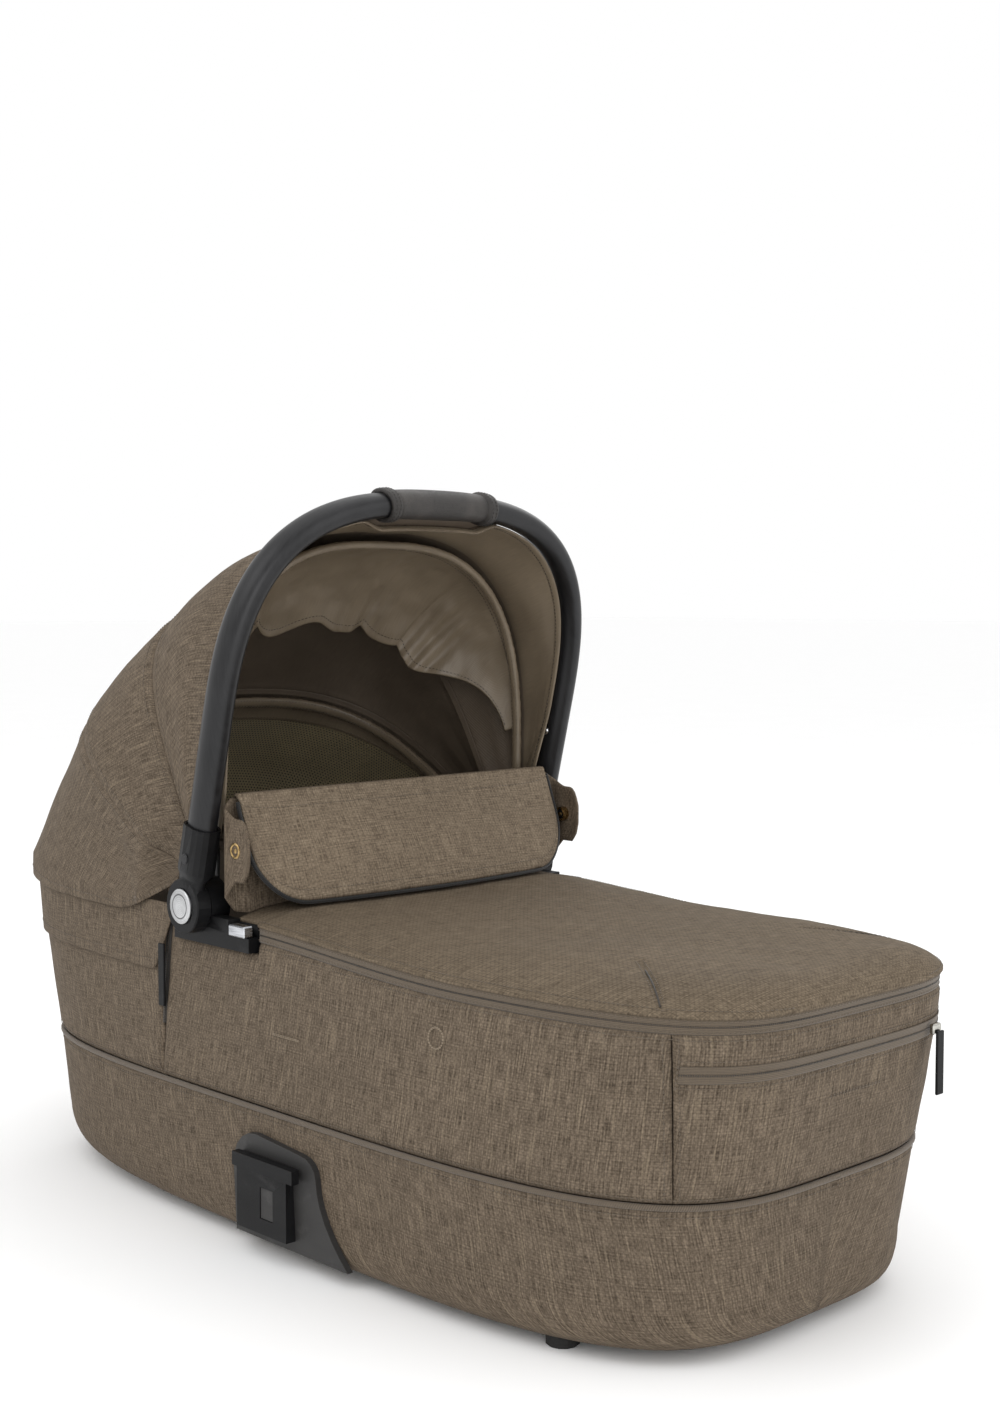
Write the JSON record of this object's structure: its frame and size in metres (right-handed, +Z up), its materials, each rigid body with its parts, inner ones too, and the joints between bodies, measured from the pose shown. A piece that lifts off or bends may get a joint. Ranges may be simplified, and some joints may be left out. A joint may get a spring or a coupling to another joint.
{
  "type": "carrycot",
  "caption": "Woven fabric carrycot with a folding hood on an arched carrying handle, zipped apron with wind guard and collar, mattress, and stroller adapters on its sides.",
  "frame": {"origin": "on the ground under the middle of the whole part, half way along and across its box", "axes": "+X towards the foot end, +Y towards the left side seen from the head end, +Z up"},
  "size_m": [0.869, 0.4032, 0.5908],
  "materials": {
    "woven_fabric": "matte melange weave",
    "light_fabric": "matte slubbed weave",
    "dark_lining": "soft satin lining",
    "mesh": "open mesh",
    "mattress_fabric": "matte cover over foam",
    "black_tape": "woven zip tape",
    "black_piping": "smooth corded piping",
    "grip_leather": "grained leatherette",
    "charcoal_tube": "satin powder coat",
    "frame_metal": "satin coat",
    "tray_plastic": "fine grain",
    "bow_plastic": "smooth",
    "black_plastic": "fine grain",
    "grey_plastic": "fine grain",
    "silver_button": "satin silver",
    "bright_steel": "plain",
    "zip_metal": "polished",
    "snap_brass": "aged",
    "foot_rubber": "matte"
  },
  "bodies": {
    "body": {"base_tray": "tray_plastic", "lower_cover": "woven_fabric", "foot_panel": "woven_fabric", "head_panel": "woven_fabric", "side_panel_left": "woven_fabric", "side_panel_right": "woven_fabric", "seam_piping": "black_piping", "rim_frame": "frame_metal", "inner_liner": "dark_lining", "mattress": "mattress_fabric", "apron": "light_fabric", "apron_zip": "black_tape", "wind_guard": "woven_fabric", "ear_snap_left": "snap_brass", "ear_snap_right": "snap_brass", "hub_bracket_left": "black_plastic", "hub_bracket_right": "black_plastic", "button_spring_left": "bright_steel", "button_spring_right": "bright_steel", "canopy_front": "woven_fabric", "canopy_middle": "woven_fabric", "canopy_rear": "woven_fabric", "canopy_skirt": "woven_fabric", "canopy_drape": "dark_lining", "mesh_window": "mesh", "pocket_zip": "black_tape", "pocket_slider": "zip_metal", "side_zip_left": "black_tape", "side_zip_right": "black_tape", "adapter_plate_left": "grey_plastic", "adapter_plate_right": "grey_plastic", "adapter_connector_left": "black_plastic", "adapter_connector_right": "black_plastic", "rubber_foot_foot_left": "foot_rubber", "rubber_foot_foot_right": "foot_rubber", "rubber_foot_head_left": "foot_rubber", "rubber_foot_head_right": "foot_rubber"},
    "handle": {"handle_tube": "charcoal_tube", "grip_cover": "grip_leather", "handle_socket_left": "black_plastic", "handle_socket_right": "black_plastic", "socket_screw_left": "bright_steel", "socket_screw_right": "bright_steel", "arm_screw_left": "bright_steel", "arm_screw_right": "bright_steel"},
    "front_bow_body": {"front_bow": "bow_plastic"},
    "rear_bow_body": {"rear_bow": "bow_plastic"},
    "button_left": {"pivot_button_left": "silver_button", "lock_gear_left": "bright_steel"},
    "button_right": {"pivot_button_right": "silver_button", "lock_gear_right": "bright_steel"},
    "tab_left": {"release_tab_left": "silver_button"},
    "tab_right": {"release_tab_right": "silver_button"},
    "latch_left": {"adapter_latch_left": "grey_plastic"},
    "latch_right": {"adapter_latch_right": "grey_plastic"},
    "collar": {"wind_guard_collar": "light_fabric", "collar_piping": "black_piping"},
    "foot_puller": {"pocket_puller": "black_plastic"},
    "puller_left": {"side_puller_left": "black_plastic"},
    "puller_right": {"side_puller_right": "black_plastic"}
  },
  "joints": [
    {"name": "handle_fold", "type": "hinge", "parent": "body", "child": "handle", "pos_m": [-0.076, 0, 0.26], "axis": [0, 1, 0], "range_deg": [-85, 0], "deforming": ["canopy_front", "canopy_middle", "canopy_rear", "canopy_drape", "mesh_window"]},
    {"name": "front_bow_turn", "type": "hinge", "parent": "body", "child": "front_bow_body", "pos_m": [-0.076, 0, 0.26], "axis": [0, 1, 0], "range_deg": [-76, 0]},
    {"name": "rear_bow_turn", "type": "hinge", "parent": "body", "child": "rear_bow_body", "pos_m": [-0.076, 0, 0.26], "axis": [0, 1, 0], "range_deg": [-23, 0]},
    {"name": "button_left_press", "type": "slide", "parent": "body", "child": "button_left", "axis": [0, -1, 0], "range_m": [0, 0.0032], "stiffness_N_per_m": 900, "springref_m": -0.003, "deforming": ["button_spring_left"]},
    {"name": "button_right_press", "type": "slide", "parent": "body", "child": "button_right", "axis": [0, 1, 0], "range_m": [0, 0.0032], "stiffness_N_per_m": 900, "springref_m": -0.003, "deforming": ["button_spring_right"]},
    {"name": "tab_left_press", "type": "slide", "parent": "body", "child": "tab_left", "axis": [0, -1, 0], "range_m": [0, 0.0034], "stiffness_N_per_m": 500, "springref_m": -0.002},
    {"name": "tab_right_press", "type": "slide", "parent": "body", "child": "tab_right", "axis": [0, 1, 0], "range_m": [0, 0.0034], "stiffness_N_per_m": 500, "springref_m": -0.002},
    {"name": "latch_left_press", "type": "slide", "parent": "body", "child": "latch_left", "axis": [0, -1, 0], "range_m": [0, 0.003], "stiffness_N_per_m": 500, "springref_m": -0.002},
    {"name": "latch_right_press", "type": "slide", "parent": "body", "child": "latch_right", "axis": [0, 1, 0], "range_m": [0, 0.003], "stiffness_N_per_m": 500, "springref_m": -0.002},
    {"name": "collar_turn", "type": "hinge", "parent": "body", "child": "collar", "pos_m": [-0.044, 0, 0.3465], "axis": [0, -1, 0], "range_deg": [0, 150]},
    {"name": "foot_puller_swing", "type": "hinge", "parent": "body", "child": "foot_puller", "pos_m": [0.4334, 0.088, 0.2], "axis": [0, -1, 0], "range_deg": [0, 150]},
    {"name": "puller_left_swing", "type": "hinge", "parent": "body", "child": "puller_left", "pos_m": [-0.125, 0.1842, 0.2211], "axis": [1, 0, 0], "range_deg": [0, 150]},
    {"name": "puller_right_swing", "type": "hinge", "parent": "body", "child": "puller_right", "pos_m": [-0.125, -0.1842, 0.2211], "axis": [-1, 0, 0], "range_deg": [0, 150]}
  ],
  "couplings": [
    {"joint": "front_bow_turn", "follows": "handle_fold", "ratio": 0.89},
    {"joint": "rear_bow_turn", "follows": "handle_fold", "ratio": 0.266}
  ]
}
